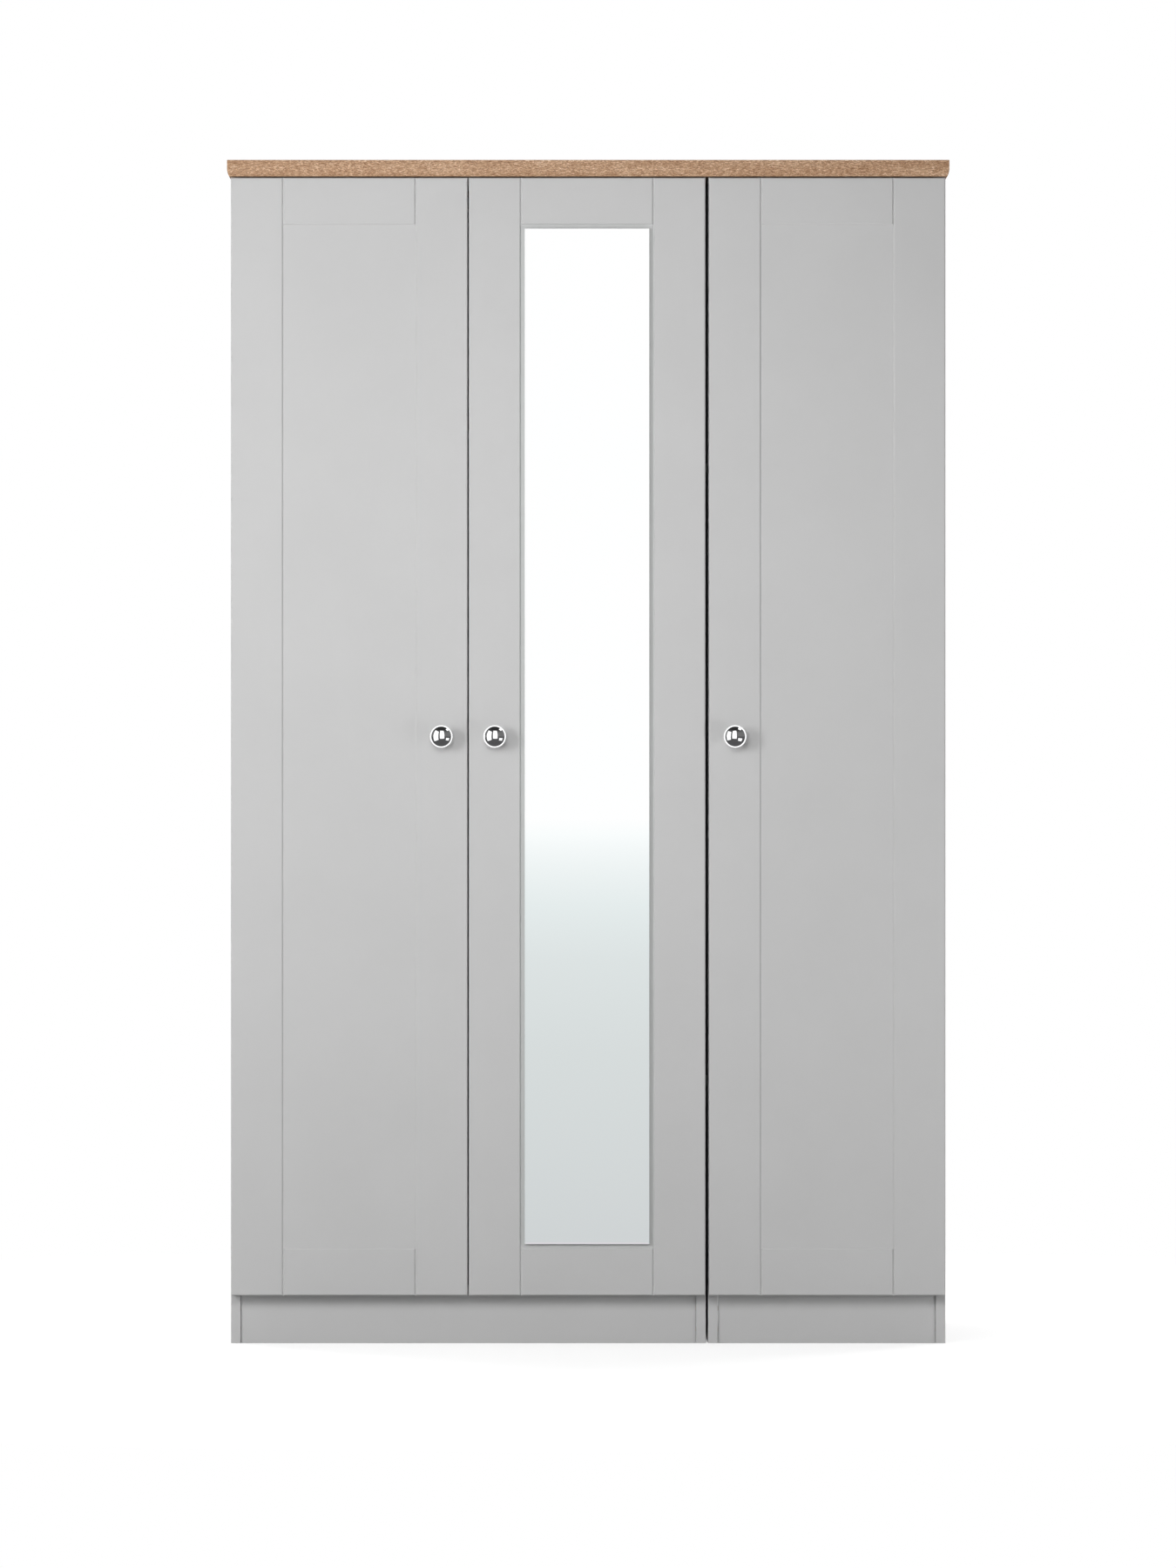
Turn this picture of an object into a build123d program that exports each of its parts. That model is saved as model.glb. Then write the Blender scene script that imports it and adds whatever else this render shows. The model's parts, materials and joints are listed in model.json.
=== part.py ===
from build123d import *
from collections import namedtuple
import os

# A three-door wardrobe: a double unit and a single unit side by side under one oak-effect top.
# Millimetres. +X is the viewer's right, +Y the back, +Z up. The origin is on the floor, in the middle
# of the outline with the knobs counted in.

# Carcase boards
board = 15.0                  # thickness of sides, bottoms, shelves, stretchers and plinths
board_edge_radius = 0.8       # eased front edges
carcase_depth = 504.0
unit_gap = 3.5                # open gap between the two units
plinth_height = 75.0
plinth_setback = 3.0          # plinth face behind the side board edges
plinth_end_play = 0.5         # plinth short of the side boards, at either end
shelf_height = 1500.0         # floor to the top face of the hat shelf
shelf_setback = 25.0          # shelf edge behind the carcase front
stretcher_width = 80.0
back_thickness = 3.0
back_inset = 10.0             # back board in front of the rear edges
back_groove_depth = 6.0
back_groove_play = 0.25

# Top
top_thickness = 25.0
top_side_overhang = 5.0       # beyond the side boards
top_front_overhang = 5.0      # beyond the door fronts
top_curve_height = 12.0       # rounded lower part of the edge
top_curve_inset = 3.0         # how far the edge draws in at the underside
top_upper_radius = 0.8

# Doors
door_width = 363.5
door_height = 1718.0
door_thickness = 18.0
door_standoff = 3.0           # door backs to the carcase
door_reveal = 1.0             # door edge inside the outer face of the side board
door_meeting_gap = 2.0        # between the doors of the double unit
door_top_gap = 2.0            # under the top
door_front_radius = 2.0
door_back_chamfer = 1.0
stile_line = 80.0             # door edge to the middle of a stile groove
rail_width = 70.5
groove_width = 4.0
groove_depth = 2.0            # also how far the centre panel is lowered
buffer_radius = 4.0
buffer_inset = 30.0           # from the free edge of the door

# Mirror
mirror_side_margin = 6.0      # lowered panel left bare beside the plate
mirror_top_margin = 6.0
mirror_bottom_margin = 6.5
mirror_thickness = 4.0
mirror_bevel_width = 3.0
mirror_bevel_depth = 0.4
tape_thickness = 0.8
tape_width = 25.0
tape_length = 200.0
tape_rows = 5
tape_side_inset = 30.0        # plate edge to the middle of a strip
tape_end_inset = 130.0

# Knobs
knob_inset = 40.0             # free edge to the knob axis
knob_projection = 26.0
knob_base_radius = 8.0
knob_base_height = 1.5
knob_neck_radius = 5.5
knob_neck_low = 4.5
knob_neck_high = 8.0
knob_rim_radius = 17.5
knob_rim_low = 17.6
knob_rim_face = 19.6          # flat front of the rim, round the dome
knob_rim_round = 0.3
knob_dome_radius = 15.25
knob_screw_radius = 2.0
knob_screw_grip = 9.0         # thread inside the knob
knob_screw_head_radius = 4.0
knob_screw_head_height = 2.2

# Hinges
hinge_count = 4
hinge_end = 100.0             # door end to the nearest hinge
pin_inset = 7.5               # door edge to the pin axis
pin_depth = 8.0               # door back to the pin axis
pin_radius = 1.5
pin_length = 19.0
cup_tab = 3.0                 # door edge to the cup bore
cup_radius = 17.5
cup_wall = 0.8
cup_depth = 12.2
cup_floor = 1.0
cup_flange = 1.0
cup_flange_width = 17.0
cup_flange_length = 62.0
cup_flange_corner = 4.0
cup_screw_spacing = 48.0
cup_screw_offset = 6.0        # screw line beyond the cup axis
cup_screw_length = 12.0
ear_width = 6.6
ear_height = 6.4              # above the cup floor
eye_radius = 2.4
arm_offset = 11.0             # pin axis to the near face of the arm
arm_sheet = 2.5
arm_width = 10.0
arm_seat_width = 16.0         # where the arm lies on its plate
arm_lip_depth = 2.0
arm_lip_sheet = 1.5
plate_start = 20.0            # carcase front to the mounting plate
plate_length = 34.0
plate_width = 12.6
plate_wing_sheet = 2.0
plate_wing_width = 16.0
plate_wing_length = 44.0
plate_screw_line = 37.0       # carcase front to the plate screws
plate_screw_spacing = 32.0
plate_screw_length = 12.0
plate_screw_radius = 2.5
plate_screw_head_radius = 4.0
arm_screw_line = 48.0         # carcase front to the screw that holds the arm on its plate
arm_screw_length = 6.0

# Hanging rails
tube_height = 30.0
tube_width = 15.0
tube_wall = 1.2
tube_drop = 55.0              # shelf underside to the middle of the tube
socket_height = 58.0
socket_width = 22.0
socket_base = 2.5
socket_collar = 12.0          # depth of the collar round the tube
socket_wall = 1.5
socket_screw_spacing = 45.0

# Fasteners and small fittings
screw_radius = 1.75
screw_head_radius = 3.4
screw_head_height = 1.8
screw_tip = 3.0
screw_shoulder = 1.0          # bevel round the top of a head
screw_slot_width = 0.8
screw_slot_depth = 0.9
short_screw_length = 14.0
top_screw_length = 30.0
top_screw_end = 50.0          # side board to the nearest screw into the top
dowel_radius = 4.0
dowel_in_side = 10.0
dowel_in_board = 20.0
dowel_end = 50.0              # board edge to the nearest dowel
dowel_pitch = 32.0            # between the paired dowels of narrow boards
nail_radius = 0.8
nail_length = 20.0
nail_tip = 1.6
nail_head_radius = 1.8
nail_head_height = 0.6
nail_end = 40.0               # side board to the nearest nail
bolt_heights = (400.0, 1350.0)
bolt_inset = 110.0            # carcase front and rear to the bolts between the units
bolt_radius = 2.0
bolt_grip = 27.0
bolt_tip = 1.0
bolt_head_radius = 6.5
bolt_head_height = 2.5
sleeve_radius = 3.0
sleeve_length = 24.0
sleeve_bore_length = 22.0
spacer_radius = 9.0
block_leg = 18.0
block_sheet = 4.0
block_length = 36.0
block_screw_pitch = 18.0
block_end = 90.0              # side board to the middle of the nearest plinth block
bracket_leg = 32.0
bracket_sheet = 2.0
bracket_width = 26.0
bracket_screw_pitch = 14.0
wall_hole_radius = 2.75
wall_hole_drop = 20.0         # stretcher underside to the wall screw

# Fits
screw_fit = 0.05
dowel_fit = 0.05
pin_press = 0.02              # pin in the ears of the cup
pin_running = 0.05            # pin in the eye of the arm
cup_fit = 0.1                 # cup in its bore
ear_fit = 0.3                 # arm between the ears
tube_fit = 0.1
end_play = 0.5                # bottom of a blind hole

# Directions
LEFT = (-1, 0, 0)
RIGHT = (1, 0, 0)
FRONT = (0, -1, 0)
BACK = (0, 1, 0)
DOWN = (0, 0, -1)

# Where everything stands
double_width = 2 * door_width + door_meeting_gap + 2 * door_reveal
single_width = door_width + 2 * door_reveal
body_width = double_width + unit_gap + single_width
double_left = -body_width / 2
double_right = double_left + double_width
single_left = double_right + unit_gap
single_right = single_left + single_width

top_depth = carcase_depth + door_standoff + door_thickness + top_front_overhang
rear = (top_depth + knob_projection - top_front_overhang) / 2
front = rear - carcase_depth
door_back = front - door_standoff
door_front = door_back - door_thickness
top_front = door_front - top_front_overhang
back_rear = rear - back_inset
back_front = back_rear - back_thickness
shelf_front = front + shelf_setback
plinth_front = front + plinth_setback
plinth_back = plinth_front + board

bottom_high = plinth_height + board
shelf_low = shelf_height - board
door_low = plinth_height
door_high = door_low + door_height
door_middle = (door_low + door_high) / 2
carcase_top = door_high + door_top_gap
stretcher_low = carcase_top - board
tube_y = (front + back_front) / 2
tube_z = shelf_low - tube_drop

Unit = namedtuple("Unit", "name left right doors")
units = (
    Unit("double", double_left, double_right, 2),
    Unit("single", single_left, single_right, 1),
)

# hand is 1 for a door hung on its left edge and -1 for one hung on its right edge
Door = namedtuple("Door", "name left hand")
doors = (
    Door("left", double_left + door_reveal, 1),
    Door("mirror", double_right - door_reveal - door_width, -1),
    Door("right", single_left + door_reveal, -1),
)


def spread(first, last, count):
    """Evenly spaced positions from first to last."""
    return [first + (last - first) * step / (count - 1) for step in range(count)]


def spots(points, outward):
    """Planes at the points that face outward."""
    return [Plane(origin=point, z_dir=outward) for point in points]


def slab(low, high, mode=Mode.ADD):
    """Adds the box between two opposite corners to the part being built, or cuts it away."""
    size = Vector(*high) - Vector(*low)
    with Locations((Vector(*low) + Vector(*high)) / 2):
        Box(size.X, size.Y, size.Z, mode=mode)


def save(piece, name):
    """Labels a finished piece and writes its file."""
    piece.label = name
    export_step(piece, f"parts/{name}.step")


def inner_ends(unit):
    """The inner faces of a unit's two sides, each with the direction that faces into the unit."""
    return ((unit.left + board, RIGHT), (unit.right - board, LEFT))


def middle(unit):
    """The unit's middle, left to right."""
    return (unit.left + unit.right) / 2


def hinge_edge(door):
    """The door edge that carries the hinges."""
    return door.left if door.hand > 0 else door.left + door_width


def free_edge(door):
    """The door edge that swings out."""
    return door.left + door_width if door.hand > 0 else door.left


def hinge_heights():
    """Heights of a door's hinges."""
    return spread(door_low + hinge_end, door_high - hinge_end, hinge_count)


def pivots(door):
    """Points on the door's hinge line, one in the middle of each hinge."""
    x = hinge_edge(door) + door.hand * pin_inset
    return [(x, door_back - pin_depth, height) for height in hinge_heights()]


def hung(piece, door):
    """A hinge piece for a door hung on the left, or turned round for one hung on the right."""
    return piece if door.hand > 0 else piece.mirror(Plane.YZ)


# Fasteners
def screw(length, shank_radius, head_radius, head_height, tip=screw_tip):
    """A cross-slotted screw with the seat of its head at the origin and its shank down -Z."""
    with BuildPart() as one:
        with BuildSketch(Plane.XZ):
            with BuildLine():
                Polyline(
                    (0, head_height),
                    (0, -length),
                    (shank_radius, tip - length),
                    (shank_radius, 0),
                    (head_radius, 0),
                    (head_radius, head_height - screw_shoulder),
                    (head_radius - screw_shoulder, head_height),
                    close=True,
                )
            make_face()
        revolve(axis=Axis.Z)
        with BuildSketch(Plane.XY.offset(head_height)):
            Rectangle(head_radius, screw_slot_width)
            Rectangle(screw_slot_width, head_radius)
        extrude(amount=-screw_slot_depth, mode=Mode.SUBTRACT)
    return one.part


def wood_screw(length):
    """The common screw of the carcase and its fittings."""
    return screw(length, screw_radius, screw_head_radius, screw_head_height)


def nail():
    """A flat-headed nail, placed like a screw."""
    with BuildPart() as one:
        with BuildSketch(Plane.XZ):
            with BuildLine():
                Polyline(
                    (0, nail_head_height),
                    (0, -nail_length),
                    (nail_radius, nail_tip - nail_length),
                    (nail_radius, 0),
                    (nail_head_radius, 0),
                    (nail_head_radius, nail_head_height),
                    close=True,
                )
            make_face()
        revolve(axis=Axis.Z)
    return one.part


def sleeve_nut():
    """A nut with a long barrel, placed like a screw."""
    with BuildPart() as one:
        with BuildSketch(Plane.XZ):
            with BuildLine():
                Polyline(
                    (0, bolt_head_height),
                    (bolt_head_radius, bolt_head_height),
                    (bolt_head_radius, 0),
                    (sleeve_radius, 0),
                    (sleeve_radius, -sleeve_length),
                    (bolt_radius + screw_fit, -sleeve_length),
                    (bolt_radius + screw_fit, sleeve_bore_length - sleeve_length),
                    (0, sleeve_bore_length - sleeve_length),
                    close=True,
                )
            make_face()
        revolve(axis=Axis.Z)
    return one.part


def save_group(piece, planes, name):
    """Writes a group of equal pieces, one standing on each plane."""
    with BuildPart() as group:
        with Locations(*planes):
            add(piece)
    save(group.part, name)


# Where the fasteners go
bottom_middle = plinth_height + board / 2
shelf_middle = shelf_height - board / 2
stretcher_middle = carcase_top - board / 2
front_stretcher_middle = front + stretcher_width / 2
rear_stretcher_middle = back_front - stretcher_width / 2
plinth_middle = (plinth_front + plinth_back) / 2


def pair(centre):
    """Two dowels, evenly about a centre."""
    return (centre - dowel_pitch / 2, centre + dowel_pitch / 2)


def row(unit, inset, count):
    """Evenly spaced positions between a unit's sides, the end ones inset from the inner faces."""
    return spread(unit.left + board + inset, unit.right - board - inset, count)


# Dowels by the board that they hold, as depth and height on the inner face of a side
dowel_spots = {
    "bottom": [(y, bottom_middle) for y in spread(front + dowel_end, back_front - dowel_end, 3)],
    "shelf": [(y, shelf_middle) for y in spread(shelf_front + dowel_end, back_front - dowel_end, 3)],
    "front_stretcher": [(y, stretcher_middle) for y in pair(front_stretcher_middle)],
    "rear_stretcher": [(y, stretcher_middle) for y in pair(rear_stretcher_middle)],
    "plinth": [(plinth_middle, z) for z in pair(plinth_height / 2)],
}


def nail_points(unit, y, height):
    """Points along one row of nails through the unit's back board."""
    return [(x, y, height) for x in row(unit, nail_end, 2 * unit.doors + 1)]


def top_screw_points(unit, y, height):
    """Points along one stretcher for the screws that hold the top."""
    return [(x, y, height) for x in row(unit, top_screw_end, unit.doors + 1)]


def block_positions(unit):
    """Middles of the blocks behind the unit's plinth."""
    return row(unit, block_end, unit.doors + 1)


def block_screw_points(unit):
    """Screw seats on the plinth blocks: those into the bottom, and those into the plinth."""
    across = (block_sheet + block_leg) / 2
    aside = block_screw_pitch / 2
    up_seat = (plinth_back + across, plinth_height - block_sheet)
    forward_seat = (plinth_back + block_sheet, plinth_height - across)
    up = [(x - aside, *up_seat) for x in block_positions(unit)]
    forward = [(x + aside, *forward_seat) for x in block_positions(unit)]
    return up, forward


def bracket_screw_points(unit, height):
    """Screws that hold the unit's wall bracket up to the rear stretcher."""
    y = back_front - (bracket_sheet + bracket_leg) / 2
    return [(middle(unit) + side * bracket_screw_pitch / 2, y, height) for side in (-1, 1)]


def wall_hole(unit, y):
    """The point where a wall screw passes through the unit's bracket and back board."""
    return (middle(unit), y, stretcher_low - wall_hole_drop)


def bolt_points(x):
    """Points on a face across X where the two units are bolted together."""
    return [(x, y, z) for y in (front + bolt_inset, rear - bolt_inset) for z in bolt_heights]


def socket_screw_points(x):
    """Screws of a hanging rail socket, on a face across X."""
    return [(x, tube_y, tube_z + side * socket_screw_spacing / 2) for side in (-1, 1)]


def plate_screw_points(x):
    """Screws of a door's hinge plates, on a face across X."""
    y = front + plate_screw_line
    return [(x, y, z + side * plate_screw_spacing / 2) for z in hinge_heights() for side in (-1, 1)]


def cup_screw_points(door, y):
    """Screws of a door's hinge cups, on a face across Y."""
    x = hinge_edge(door) + door.hand * (cup_tab + cup_radius + cup_screw_offset)
    return [(x, y, z + side * cup_screw_spacing / 2) for z in hinge_heights() for side in (-1, 1)]


# Sides
def make_side(name, outer_x, inward, hinged, bolted):
    """A side board: grooved for the back, drilled for dowels, rail sockets, hinges and the other unit."""
    inner_x = outer_x + inward * board
    groove_x = inner_x - inward * back_groove_depth
    facing = (inward, 0, 0)
    with BuildPart() as side:
        slab((min(outer_x, inner_x), front, 0), (max(outer_x, inner_x), rear, carcase_top))
        fillet(side.edges().filter_by(Axis.Z).group_by(Axis.Y)[0], radius=board_edge_radius)
        slab(
            (min(groove_x, inner_x), back_front - back_groove_play, plinth_height),
            (max(groove_x, inner_x), back_rear + back_groove_play, carcase_top),
            mode=Mode.SUBTRACT,
        )
        for places in dowel_spots.values():
            with Locations(*spots([(inner_x, y, z) for y, z in places], facing)):
                Hole(dowel_radius + dowel_fit, dowel_in_side + end_play)
        with Locations(*spots(socket_screw_points(inner_x), facing)):
            Hole(screw_radius + screw_fit, short_screw_length - socket_base + end_play)
        if hinged:
            with Locations(*spots(plate_screw_points(inner_x), facing)):
                Hole(plate_screw_radius + screw_fit, plate_screw_length - plate_wing_sheet + end_play)
        if bolted:
            with Locations(*spots(bolt_points(inner_x), facing)):
                Hole(sleeve_radius + screw_fit)
    save(side.part, name)


# Boards between the sides
def make_cross_board(unit, kind, low, high, holes, short=0.0):
    """A board between a unit's sides, from low to high as depth and height, short of them if need be."""
    left_x = unit.left + board + short
    right_x = unit.right - board - short
    with BuildPart() as cross:
        slab((left_x, *low), (right_x, *high))
        fillet(cross.edges().filter_by(Axis.X).group_by(Axis.Y)[0], radius=board_edge_radius)
        for x, outward in ((left_x, LEFT), (right_x, RIGHT)):
            with Locations(*spots([(x, y, z) for y, z in dowel_spots[kind]], outward)):
                Hole(dowel_radius + dowel_fit, dowel_in_board + end_play)
        for planes, radius, depth in holes:
            with Locations(*planes):
                Hole(radius, depth)
    save(cross.part, f"{unit.name}_{kind}")


def make_unit_boards(unit):
    """Bottom, shelf, stretchers and plinth of a unit."""
    nail_hole = nail_radius + screw_fit
    nail_reach = nail_length - back_thickness + end_play
    screw_hole = screw_radius + screw_fit
    block_reach = short_screw_length - block_sheet + end_play
    up, forward = block_screw_points(unit)

    bottom_nails = spots(nail_points(unit, back_front, bottom_middle), BACK)
    block_holes = spots([(x, y, plinth_height) for x, y, z in up], DOWN)
    make_cross_board(
        unit, "bottom", (front, plinth_height), (back_front, bottom_high),
        [(bottom_nails, nail_hole, nail_reach), (block_holes, screw_hole, block_reach)],
    )

    shelf_nails = spots(nail_points(unit, back_front, shelf_middle), BACK)
    make_cross_board(
        unit, "shelf", (shelf_front, shelf_low), (back_front, shelf_height),
        [(shelf_nails, nail_hole, nail_reach)],
    )

    front_screws = spots(top_screw_points(unit, front_stretcher_middle, stretcher_low), DOWN)
    make_cross_board(
        unit, "front_stretcher", (front, stretcher_low), (front + stretcher_width, carcase_top),
        [(front_screws, screw_hole, None)],
    )

    rear_screws = spots(top_screw_points(unit, rear_stretcher_middle, stretcher_low), DOWN)
    stretcher_nails = spots(nail_points(unit, back_front, stretcher_middle), BACK)
    bracket_holes = spots(bracket_screw_points(unit, stretcher_low), DOWN)
    bracket_reach = short_screw_length - bracket_sheet + end_play
    make_cross_board(
        unit, "rear_stretcher", (back_front - stretcher_width, stretcher_low), (back_front, carcase_top),
        [
            (rear_screws, screw_hole, None),
            (stretcher_nails, nail_hole, nail_reach),
            (bracket_holes, screw_hole, bracket_reach),
        ],
    )

    plinth_holes = spots([(x, plinth_back, z) for x, y, z in forward], BACK)
    make_cross_board(
        unit, "plinth", (plinth_front, 0), (plinth_back, plinth_height),
        [(plinth_holes, screw_hole, block_reach)], plinth_end_play,
    )


def make_back(unit):
    """The thin back board, held in the grooves of the sides."""
    reach = back_groove_depth - back_groove_play
    (left_x, _), (right_x, _) = inner_ends(unit)
    with BuildPart() as back:
        slab((left_x - reach, back_front, plinth_height), (right_x + reach, back_rear, carcase_top))
        for height in (bottom_middle, shelf_middle, stretcher_middle):
            with Locations(*spots(nail_points(unit, back_rear, height), BACK)):
                Hole(nail_radius + screw_fit)
        with Locations(*spots([wall_hole(unit, back_rear)], BACK)):
            Hole(wall_hole_radius)
    save(back.part, f"{unit.name}_back")


# Top
def make_top():
    """The oak-effect top: square upper edge, rounded under at the front and both ends."""
    half = body_width / 2 + top_side_overhang
    top_high = carcase_top + top_thickness
    curve_high = carcase_top + top_curve_height
    half_under = half - top_curve_inset
    front_under = top_front + top_curve_inset
    with BuildPart() as top:
        with BuildSketch(Plane.XZ.offset(-rear)):
            with BuildLine():
                Polyline((-half, curve_high), (-half, top_high), (half, top_high), (half, curve_high))
                TangentArc((half, curve_high), (half_under, carcase_top), tangent=(0, -1))
                Line((half_under, carcase_top), (-half_under, carcase_top))
                TangentArc((-half, curve_high), (-half_under, carcase_top), tangent=(0, -1))
            make_face()
        extrude(amount=top_depth)
        with BuildSketch(Plane.YZ):
            with BuildLine():
                Polyline(
                    (top_front, curve_high),
                    (top_front, top_high),
                    (rear, top_high),
                    (rear, carcase_top),
                    (front_under, carcase_top),
                )
                TangentArc((top_front, curve_high), (front_under, carcase_top), tangent=(0, -1))
            make_face()
        extrude(amount=half, both=True, mode=Mode.INTERSECT)
        fillet(top.faces().sort_by(Axis.Z)[-1].edges(), radius=top_upper_radius)
        for unit in units:
            for y in (front_stretcher_middle, rear_stretcher_middle):
                with Locations(*spots(top_screw_points(unit, y, carcase_top), DOWN)):
                    Hole(screw_radius + screw_fit, top_screw_length - board + end_play)
    save(top.part, "top")


# Hanging rails
def make_tube(unit):
    """An oval hanging rail between its two sockets."""
    (left_x, _), (right_x, _) = inner_ends(unit)
    start = left_x + socket_base + end_play
    end = right_x - socket_base - end_play
    with BuildPart() as tube:
        with BuildSketch(Plane(origin=(start, tube_y, tube_z), x_dir=(0, 0, 1), z_dir=RIGHT)):
            SlotOverall(tube_height, tube_width)
            SlotOverall(tube_height - 2 * tube_wall, tube_width - 2 * tube_wall, mode=Mode.SUBTRACT)
        extrude(amount=end - start)
    save(tube.part, f"{unit.name}_hanging_rail")


def make_sockets():
    """The sockets that hold the hanging rails."""
    inner = 2 * tube_fit
    outer = inner + 2 * socket_wall
    screws = []
    with BuildPart() as sockets:
        for unit in units:
            for x, inward in inner_ends(unit):
                wall = Plane(origin=(x, tube_y, tube_z), x_dir=(0, 0, 1), z_dir=inward)
                with BuildSketch(wall):
                    SlotOverall(socket_height, socket_width)
                extrude(amount=socket_base)
                with BuildSketch(wall.offset(socket_base)):
                    SlotOverall(tube_height + outer, tube_width + outer)
                    SlotOverall(tube_height + inner, tube_width + inner, mode=Mode.SUBTRACT)
                extrude(amount=socket_collar)
                seats = spots(socket_screw_points(x + inward[0] * socket_base), inward)
                with Locations(*seats):
                    Hole(screw_radius + screw_fit, socket_base)
                screws += seats
    save(sockets.part, "rail_sockets")
    save_group(wood_screw(short_screw_length), screws, "rail_socket_screws")


# Fittings inside the carcase
def make_dowels():
    """Dowels between the sides and the boards that run across."""
    with BuildPart() as dowels:
        for unit in units:
            for x, inward in inner_ends(unit):
                for places in dowel_spots.values():
                    for start in spots([(x - inward[0] * dowel_in_side, y, z) for y, z in places], inward):
                        with BuildSketch(start):
                            Circle(dowel_radius)
                        extrude(amount=dowel_in_side + dowel_in_board)
    save(dowels.part, "dowels")


def make_unit_bolts():
    """Bolts, sleeve nuts and spacers that join the two units across the gap."""
    bolt = screw(bolt_grip, bolt_radius, bolt_head_radius, bolt_head_height, tip=bolt_tip)
    save_group(bolt, spots(bolt_points(double_right - board), LEFT), "unit_bolts")
    save_group(sleeve_nut(), spots(bolt_points(single_left + board), RIGHT), "unit_nuts")
    with BuildPart() as spacers:
        for start in spots(bolt_points(double_right), RIGHT):
            with BuildSketch(start):
                Circle(spacer_radius)
                Circle(sleeve_radius + screw_fit, mode=Mode.SUBTRACT)
            extrude(amount=unit_gap)
    save(spacers.part, "unit_spacers")


def make_top_screws():
    """Screws up through the stretchers into the top."""
    seats = []
    for unit in units:
        for y in (front_stretcher_middle, rear_stretcher_middle):
            seats += spots(top_screw_points(unit, y, stretcher_low), DOWN)
    save_group(wood_screw(top_screw_length), seats, "top_screws")


def make_back_nails():
    """Nails through the back boards."""
    seats = []
    for unit in units:
        for height in (bottom_middle, shelf_middle, stretcher_middle):
            seats += spots(nail_points(unit, back_rear, height), BACK)
    save_group(nail(), seats, "back_nails")


def make_plinth_blocks():
    """Angle blocks that hold the plinths to the bottoms."""
    seats = []
    with BuildPart() as blocks:
        for unit in units:
            for x in block_positions(unit):
                with BuildSketch(Plane.YZ.offset(x - block_length / 2)):
                    with BuildLine():
                        Polyline(
                            (plinth_back, plinth_height),
                            (plinth_back, plinth_height - block_leg),
                            (plinth_back + block_sheet, plinth_height - block_leg),
                            (plinth_back + block_sheet, plinth_height - block_sheet),
                            (plinth_back + block_leg, plinth_height - block_sheet),
                            (plinth_back + block_leg, plinth_height),
                            close=True,
                        )
                    make_face()
                extrude(amount=block_length)
            up, forward = block_screw_points(unit)
            seats += spots(up, DOWN) + spots(forward, BACK)
        with Locations(*seats):
            Hole(screw_radius + screw_fit, block_sheet)
    save(blocks.part, "plinth_blocks")
    save_group(wood_screw(short_screw_length), seats, "plinth_block_screws")


def make_wall_brackets():
    """Angle brackets under the rear stretchers, drilled for a wall screw."""
    seats = []
    with BuildPart() as brackets:
        for unit in units:
            left_x = middle(unit) - bracket_width / 2
            right_x = middle(unit) + bracket_width / 2
            corner = (right_x, back_front, stretcher_low)
            slab((left_x, back_front - bracket_leg, stretcher_low - bracket_sheet), corner)
            slab((left_x, back_front - bracket_sheet, stretcher_low - bracket_leg), corner)
            seats += spots(bracket_screw_points(unit, stretcher_low - bracket_sheet), DOWN)
            with Locations(*spots([wall_hole(unit, back_front)], BACK)):
                Hole(wall_hole_radius, bracket_sheet)
        with Locations(*seats):
            Hole(screw_radius + screw_fit, bracket_sheet)
    save(brackets.part, "wall_brackets")
    save_group(wood_screw(short_screw_length), seats, "wall_bracket_screws")


# Hinges, drawn round the pin axis of a door hung on its left edge: +X into the unit, +Y to the back
panel_face = board - door_reveal - pin_inset     # inner face of the side board
carcase_edge = pin_depth + door_standoff         # front edge of the side board
cup_axis = cup_tab + cup_radius - pin_inset
cup_bottom = pin_depth - cup_depth
arm_outer = arm_offset + arm_sheet
plate_low = carcase_edge + plate_start
plate_high = plate_low + plate_length


def hinge_cup():
    """The cup let into the door, with its flange and the two ears that hold the pin."""
    mouth = Plane(origin=(cup_axis, pin_depth, 0), x_dir=(1, 0, 0), z_dir=BACK)
    screw_aside = cup_screw_spacing / 2
    ear_top = cup_bottom + cup_floor + ear_height
    ear_start = arm_width / 2 + ear_fit
    ear_reach = cup_radius - ear_start
    with BuildPart() as cup:
        with BuildSketch(mouth):
            Circle(cup_radius)
        extrude(amount=-cup_depth)
        with BuildSketch(mouth):
            Circle(cup_radius)
            with Locations((cup_screw_offset, 0)):
                RectangleRounded(cup_flange_width, cup_flange_length, cup_flange_corner)
            with Locations((cup_screw_offset, screw_aside), (cup_screw_offset, -screw_aside)):
                Circle(screw_radius + screw_fit, mode=Mode.SUBTRACT)
        extrude(amount=cup_flange)
        with BuildSketch(mouth.offset(cup_flange)):
            Circle(cup_radius - cup_wall)
        extrude(amount=-cup_flange - pin_depth + ear_top, mode=Mode.SUBTRACT)
        with BuildSketch(mouth.offset(ear_top - pin_depth)):
            Circle(cup_radius - cup_wall)
            for side in (-1, 1):
                with Locations((-cup_axis, side * (ear_start + ear_reach / 2))):
                    Rectangle(ear_width, ear_reach, mode=Mode.SUBTRACT)
        extrude(amount=-ear_height, mode=Mode.SUBTRACT)
        with BuildSketch(Plane.XY):
            Circle(pin_radius + pin_press)
        extrude(amount=pin_length / 2 + pin_press, both=True, mode=Mode.SUBTRACT)
    return cup.part


def hinge_pin():
    """The pin that the hinge turns on."""
    with BuildPart() as pin:
        with BuildSketch(Plane.XY):
            Circle(pin_radius)
        extrude(amount=pin_length / 2, both=True)
    return pin.part


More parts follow.
